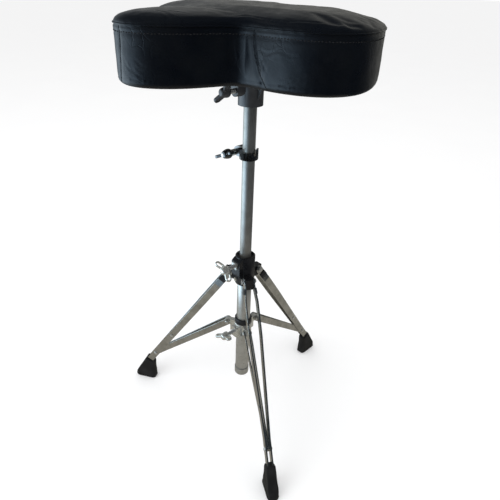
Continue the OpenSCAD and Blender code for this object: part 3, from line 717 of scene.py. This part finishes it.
def dust_cloth():
    """The thin cloth over the seat's underside, tucked below the hem."""
    b = Builder()
    count, rings = 180, 22
    top, bottom = [], []
    for i in range(rings + 1):
        k = i / rings
        row_low, row_high = [], []
        for j in range(count):
            t = 2 * math.pi * j / count
            p = seat_point(t, DUST_INSET, 1 - 0.97 * k)
            pull = math.exp(-((k / 0.22) ** 2))
            fold = 0.35 * MM * pull * math.sin(t * 46 + 3 * math.sin(3 * t))
            sag = 0.45 * MM * noise.noise(Vector((p.x * 26, p.y * 26, 5)))
            z = SEAT_LOW + 1.0 * MM + fold + sag - 0.25 * MM * math.sin(math.pi * k)
            row_low.append((*p, z))
            row_high.append((*p, z + 0.45 * MM))
        bottom.append(row_low)
        top.append(row_high)
    b.grid(bottom + top[::-1], joined=True)
    return b.object("seat_dust_cloth", MAT["dust"], 180)


seat = cushion()
find_seat = surface_finder(seat)
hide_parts("seat_top_cover", "seat_side_band", "seat_foam")
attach(seat, "seat")
for piece in (seam_lip(find_seat), stitches(find_seat), boxing_seams(find_seat)):
    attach(piece, "seat")
cloth_piece = dust_cloth()
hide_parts("seat_dust_cover")
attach(cloth_piece, "seat")


# ---------------------------------------------------------------- clamp knobs
WING_ROOT = (10.4, 8.4)  # ends of a wing's loop: out from the thread and along it, in mm
WING_TIP = (17.6, 11.9)


def loop_path(root, tip, r, steps=12):
    """A closed stadium round the line from root to tip, in the XZ plane."""
    a, b = Vector((root[0], 0, root[1])), Vector((tip[0], 0, tip[1]))
    along = (b - a).normalized()
    side = Vector((-along.z, 0, along.x))
    points = []
    for centre, start in ((b, -90), (a, 90)):
        for k in range(steps + 1):
            w = math.radians(start + 180 * k / steps)
            points.append(centre + r * (math.cos(w) * along + math.sin(w) * side))
    return points


def wing_knob(name, place, twist, material, filled):
    """A cast hub with two looped wings; local +Z is the way out along the thread."""
    b = Builder()
    profile = [(0, 0), (6.6, 0), (7.6, 0.5), (8.3, 2.2), (8.5, 4.5), (8.1, 8), (7.2, 11.5), (6.2, 14),
               (4.8, 15.5), (2.6, 16), (0, 16)]
    b.lathe([(r * MM, z * MM) for r, z in profile], 40)
    across = Vector((0, 1, 0))
    for side in (1, -1):
        path = [Vector((side * p.x, 0, p.z)) * MM for p in loop_path(WING_ROOT, WING_TIP, 4.6)]
        b.tube(path, 1.4 * MM, 16, across, True, 2.1)
        web = [Vector((side * x, 0, z)) * MM for x, z in ((4, 6.2), (7, 7.2), (9.5, 8.4))]
        b.tube(web, [4.4 * MM, 3.8 * MM, 2.2 * MM], 12, across, flat=0.6)
        if filled:
            middles = ((6, 7), WING_ROOT, WING_TIP, (19.5, 12.9))
            plate = [Vector((side * x, 0, z)) * MM for x, z in middles]
            b.tube(plate, [3.5 * MM, 4.4 * MM, 4.4 * MM, 3.2 * MM], 16, across, flat=0.34)
    knob = b.object(name, material, 180)
    modify(knob, "REMESH", mode="VOXEL", voxel_size=0.55 * MM, use_smooth_shade=True)
    modify(knob, "SMOOTH", factor=0.6, iterations=4)
    apply_all(knob)
    knob.data.transform(place @ Matrix.Rotation(twist, 4, "Z"))
    knob.data.shade_smooth()
    knob.data.materials.clear()
    knob.data.materials.append(material)
    return knob


def threaded_rod(name, place, start, end, radius, material, pitch=1.25 * MM):
    """A bolt's shank with a rounded helical thread, from start to end along +Z."""
    segments, turns = 28, (end - start) / pitch
    steps = max(2, int(turns * 5))
    rows = []
    for i in range(steps + 1):
        z = start + (end - start) * i / steps
        lead = min(1.0, i / 4, (steps - i) / 4)
        row = []
        for j in range(segments):
            w = 2 * math.pi * j / segments
            phase = (z / pitch - j / segments) % 1.0
            depth = 0.62 * MM * (1 - abs(2 * phase - 1)) * lead + 0.35 * MM * (1 - lead)
            row.append(place @ Vector(((radius - depth) * math.cos(w), (radius - depth) * math.sin(w), z)))
        rows.append(row)
    b = Builder()
    b.grid(rows, cap_low=True, cap_high=True)
    return b.object(name, material, 80)


slots = {s["node"]: s["material_slot"] for s in frame["record"]["subparts"]}


def outward(direction, x, y, z, hub):
    """A frame whose +Z points along direction, with its origin hub along it."""
    d = Vector(direction).normalized()
    right = Vector((0, 0, 1)).cross(d) * -1
    m = Matrix((right, d.cross(right), d)).transposed().to_4x4()
    m.translation = Vector((x, y, z)) + d * hub
    return m


def knob_set(body, node, direction, x, y, z, hub, tip, radius, twist, material, rod=True):
    """Wings and thread of one clamp bolt; hub and tip are distances from x, y."""
    place = outward(direction, x, y, z, hub)
    filled = material is MAT["casting"]
    pieces = [wing_knob(node + "_wings", place, math.radians(twist), material, filled)]
    if rod:
        pieces.append(threaded_rod(node + "_thread", place, tip - hub, 1 * MM, radius, MAT["zinc"]))
    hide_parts(node)
    for p in pieces:
        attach(p, body)


def middle(node):
    low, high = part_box(node)
    return (low + high) / 2


FRONT = (0, -1, 0)
SEAT_FRONT = (math.sin(SEAT_TURN), -math.cos(SEAT_TURN), 0)
knob_set("height_knob", "height_wing_bolt", FRONT, 0, AXIS_Y, middle("height_nut").z,
         46 * MM, 16.5 * MM, 4 * MM, -33, MAT["knob"])
knob_set("spider_knob", "spider_wing_bolt", FRONT, 0, AXIS_Y, middle("spider_wing_bolt").z,
         44 * MM, 14.8 * MM, 4 * MM, 22, MAT["knob"])
# Painted shade: this wing bolt is plated like the other knobs, but it gets the near-black casting colour for
# the shadow it stands in under the seat.
knob_set("bracket_knob", "bracket_wing_bolt", SEAT_FRONT, 0, AXIS_Y, middle("bracket_shoe").z,
         46 * MM, 16.5 * MM, 4 * MM, 46, MAT["casting"])
knob_set("memory_knob", "memory_wing_nut", FRONT, middle("memory_spacer").x, AXIS_Y,
         middle("memory_spacer").z, 24.3 * MM, 0, 3 * MM, 24, MAT["dark_chrome"], rod=False)


# ---------------------------------------------------------------- rubber feet
def rubber_foot(n):
    """The boot on a leg's end: softened block, rolled collar and ribbed sides."""
    node = f"foot_{n}"
    source = frame["nodes"][node]
    foot = bpy.data.objects.new(f"rubber_{node}", source.data.copy())
    scene.collection.objects.link(foot)
    hull = bmesh.new()
    hull.from_mesh(foot.data)
    made = bmesh.ops.convex_hull(hull, input=hull.verts)
    loose = [g for g in made["geom_interior"] + made["geom_unused"] if isinstance(g, bmesh.types.BMVert)]
    bmesh.ops.delete(hull, geom=loose, context="VERTS")
    hull.to_mesh(foot.data)
    hull.free()
    modify(foot, "REMESH", mode="VOXEL", voxel_size=1.6 * MM, use_smooth_shade=True)
    modify(foot, "SMOOTH", factor=0.5, iterations=16)
    apply_all(foot)
    co = coordinates(foot.data)
    normals = np.zeros(len(co) * 3)
    foot.data.vertex_normals.foreach_get("vector", normals)
    normals = normals.reshape(-1, 3)
    low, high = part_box(node)
    # smoothing shrinks the block: bring it back to the sole and the CAD size,
    # with its mouth a little lower so that more of the strips shows
    old_low, old_high = co.min(0), co.max(0)
    size = np.array(high) - np.array(low) - np.array((0, 0, BOOT_DROP))
    co = (co - old_low) / (old_high - old_low) * size + np.array(low)
    height = co[:, 2]
    side = np.clip(1 - np.abs(normals[:, 2]) * 1.4, 0, 1)
    ribbed = (height > 5 * MM) & (height < 17 * MM)
    ribs = -0.45 * MM * (np.cos(height / (3.2 * MM) * 2 * math.pi) > 0.55) * ribbed
    lip = 1.0 * MM * np.exp(-(((height - 3.2 * MM) / (1.8 * MM)) ** 2))
    waist = -0.9 * MM * np.exp(-(((height - 34 * MM) / (12 * MM)) ** 2))
    co = co + normals * ((ribs + lip + waist) * side)[:, None]
    co[:, 2] = np.maximum(co[:, 2], 0)
    set_coordinates(foot.data, co)
    foot.data.shade_smooth()
    foot.data.materials.clear()
    foot.data.materials.append(MAT["rubber"])
    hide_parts(node)
    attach(foot, f"leg_{n}")


for leg in (1, 2, 3):
    rubber_foot(leg)

# ---------------------------------------------------------------- CAD nodes
NODE_MATERIAL = {"seat_post": "satin", "base_tube": "tube", "tube_end_cap": "tube",
                 "height_nut": "tube", "spider_collar": "knob", "tube_screw": "knob"}
SOFT_EDGE = {"seat_bracket": 1.1, "top_casting": 1.2, "spider_collar": 0.7, "memory_collar": 0.6}
for node_name, node_object in frame["nodes"].items():
    if node_object.hide_render:
        continue
    node_object.data.materials.clear()
    chosen = NODE_MATERIAL.get(node_name, SLOT_MATERIAL[slots[node_name]])
    node_object.data.materials.append(MAT[chosen])
    modify(node_object, "WELD", merge_threshold=0.00001)
    width = SOFT_EDGE.get(node_name, 0.35) * MM
    modify(node_object, "BEVEL", width=width, segments=2, limit_method="ANGLE",
           angle_limit=math.radians(38), harden_normals=False, use_clamp_overlap=True)

# ---------------------------------------------------------------- studio
def add_camera():
    """The camera, at the height, tilt and roll that the view asks for."""
    pitch, roll, yaw = CAMERA_PITCH, CAMERA_ROLL, CAMERA_YAW
    ahead = Vector((math.sin(yaw) * math.cos(pitch), math.cos(yaw) * math.cos(pitch), -math.sin(pitch)))
    right = Vector((math.cos(yaw), -math.sin(yaw), 0))
    up = right.cross(ahead)
    right, up = (right * math.cos(roll) + up * math.sin(roll), up * math.cos(roll) - right * math.sin(roll))
    turn = Matrix.Rotation(CAMERA_TURN, 3, "Z")
    m = Matrix((turn @ right, turn @ up, turn @ -ahead)).transposed().to_4x4()
    m.translation = studio(0, -CAMERA_BACK, CAMERA_HEIGHT)
    data = bpy.data.cameras.new("camera")
    data.sensor_width, data.lens = CAMERA_SENSOR, CAMERA_LENS
    data.clip_start, data.clip_end = 0.01, 100
    camera = bpy.data.objects.new("camera", data)
    camera.matrix_world = m
    scene.collection.objects.link(camera)
    scene.camera = camera


def add_light(name, place, target, size, energy, colour, glossy):
    data = bpy.data.lights.new(name, "AREA")
    data.shape, data.size, data.size_y = "RECTANGLE", *size
    data.energy, data.color = energy, colour
    light = bpy.data.objects.new(name, data)
    light.location = place
    light.rotation_mode = "QUATERNION"
    light.rotation_quaternion = (target - place).to_track_quat("-Z", "Y")
    light.visible_glossy = glossy
    scene.collection.objects.link(light)


def disc(name, radius, z, material):
    b = Builder()
    angles = [2 * math.pi * j / 96 for j in range(96)]
    b.grid([[(r * math.cos(w), r * math.sin(w) + AXIS_Y, z) for w in angles]
            for r in (radius * 0.001, radius * 0.05, radius * 0.2, radius)], cap_low=True)
    obj = b.object(name, material, 180)
    for p in obj.data.polygons:
        if p.normal.z < 0:
            p.flip()
    return obj


def add_floor():
    m, n, s = new_material("pale_floor", (0.86, 0.86, 0.865), 0.0, Specular_IOR_Level=0.0)
    tone = n.noise(n.coords(), 3.0, 2.0, 0.5)
    n.link(n.mix(tone, (0.85, 0.85, 0.855), (0.88, 0.88, 0.88)), s.inputs["Base Color"])
    s.inputs["Roughness"].default_value = 0.9
    s.inputs["Emission Color"].default_value = (1, 1, 1, 1)
    s.inputs["Emission Strength"].default_value = 0.16
    floor = disc("floor", 45, -0.0002, m)
    floor.visible_glossy = False
    glow = bpy.data.materials.new("floor_seen_in_chrome")
    glow.use_nodes = True
    g = Nodes(glow.node_tree)
    emit = g.add("ShaderNodeEmission", Strength=0.30)
    emit.inputs["Color"].default_value = (1.0, 0.95, 0.84, 1)
    g.link(emit.outputs[0], g.add("ShaderNodeOutputMaterial").inputs["Surface"])
    near = disc("floor_near", 0.62, -0.0008, glow)
    near.visible_camera = near.visible_diffuse = near.visible_shadow = near.visible_transmission = False


def add_world():
    """White for the camera, even for plain light, a window and dark walls for gloss."""
    world = bpy.data.worlds.new("studio")
    scene.world = world
    world.use_nodes = True
    n = Nodes(world.node_tree)
    out = n.add("ShaderNodeOutputWorld")
    direction = n.tree.nodes.new("ShaderNodeTexCoord").outputs["Generated"]

    def toward(azimuth, elevation, sharp):
        d = n.add("ShaderNodeVectorMath", operation="DOT_PRODUCT")
        n.link(direction, d.inputs[0])
        d.inputs[1].default_value = studio_dir(azimuth, elevation)
        return n.math("EXPONENT", n.math("MULTIPLY", n.math("SUBTRACT", d.outputs["Value"], 1.0), sharp))

    def glow(value, colour):
        return n.mix(value, (0, 0, 0), colour)

    total = glow(toward(-63, -22, 13.0), (1.5, 2.1, 2.7))
    for lobe in (
        glow(toward(-104, -20, 9.0), (2.3, 2.8, 3.2)),
        glow(toward(-78, 10, 7.0), (0.5, 0.6, 0.68)),
        glow(toward(175, 4, 10.0), (0.27, 0.26, 0.23)),
        glow(toward(140, 12, 8.0), (0.26, 0.25, 0.22)),
        glow(toward(-150, 12, 9.0), (0.20, 0.21, 0.22)),
    ):
        add = n.add("ShaderNodeMix", data_type="RGBA", blend_type="ADD", clamp_result=False)
        add.inputs["Factor"].default_value = 1.0
        n.link(total, add.inputs[6])
        n.link(lobe, add.inputs[7])
        total = add.outputs[2]
    base = n.add("ShaderNodeMix", data_type="RGBA", blend_type="ADD")
    base.inputs["Factor"].default_value = 1.0
    n.link(total, base.inputs[6])
    base.inputs[7].default_value = (0.026, 0.034, 0.044, 1)
    gloss = n.add("ShaderNodeBackground", Strength=1.0)
    n.link(base.outputs[2], gloss.inputs["Color"])
    even = n.add("ShaderNodeBackground", Strength=0.86)
    even.inputs["Color"].default_value = (1, 1, 1, 1)
    white = n.add("ShaderNodeBackground", Strength=1.1)
    white.inputs["Color"].default_value = (1, 1, 1, 1)
    path = n.tree.nodes.new("ShaderNodeLightPath")
    for_gloss = n.add("ShaderNodeMixShader")
    n.link(path.outputs["Is Glossy Ray"], for_gloss.inputs[0])
    n.link(even.outputs[0], for_gloss.inputs[1])
    n.link(gloss.outputs[0], for_gloss.inputs[2])
    for_camera = n.add("ShaderNodeMixShader")
    n.link(path.outputs["Is Camera Ray"], for_camera.inputs[0])
    n.link(for_gloss.outputs[0], for_camera.inputs[1])
    n.link(white.outputs[0], for_camera.inputs[2])
    n.link(for_camera.outputs[0], out.inputs["Surface"])


add_camera()
add_floor()
add_world()
add_light("window", studio(-1.5, -1.1, 1.3), studio(0, 0, 0.35), (1.6, 1.6), 15, (0.93, 0.97, 1.0), False)
add_light("ceiling", studio(-0.3, -0.2, 3.4), studio(0, 0.2, 0), (3.5, 3.5), 22, (1, 1, 1), False)
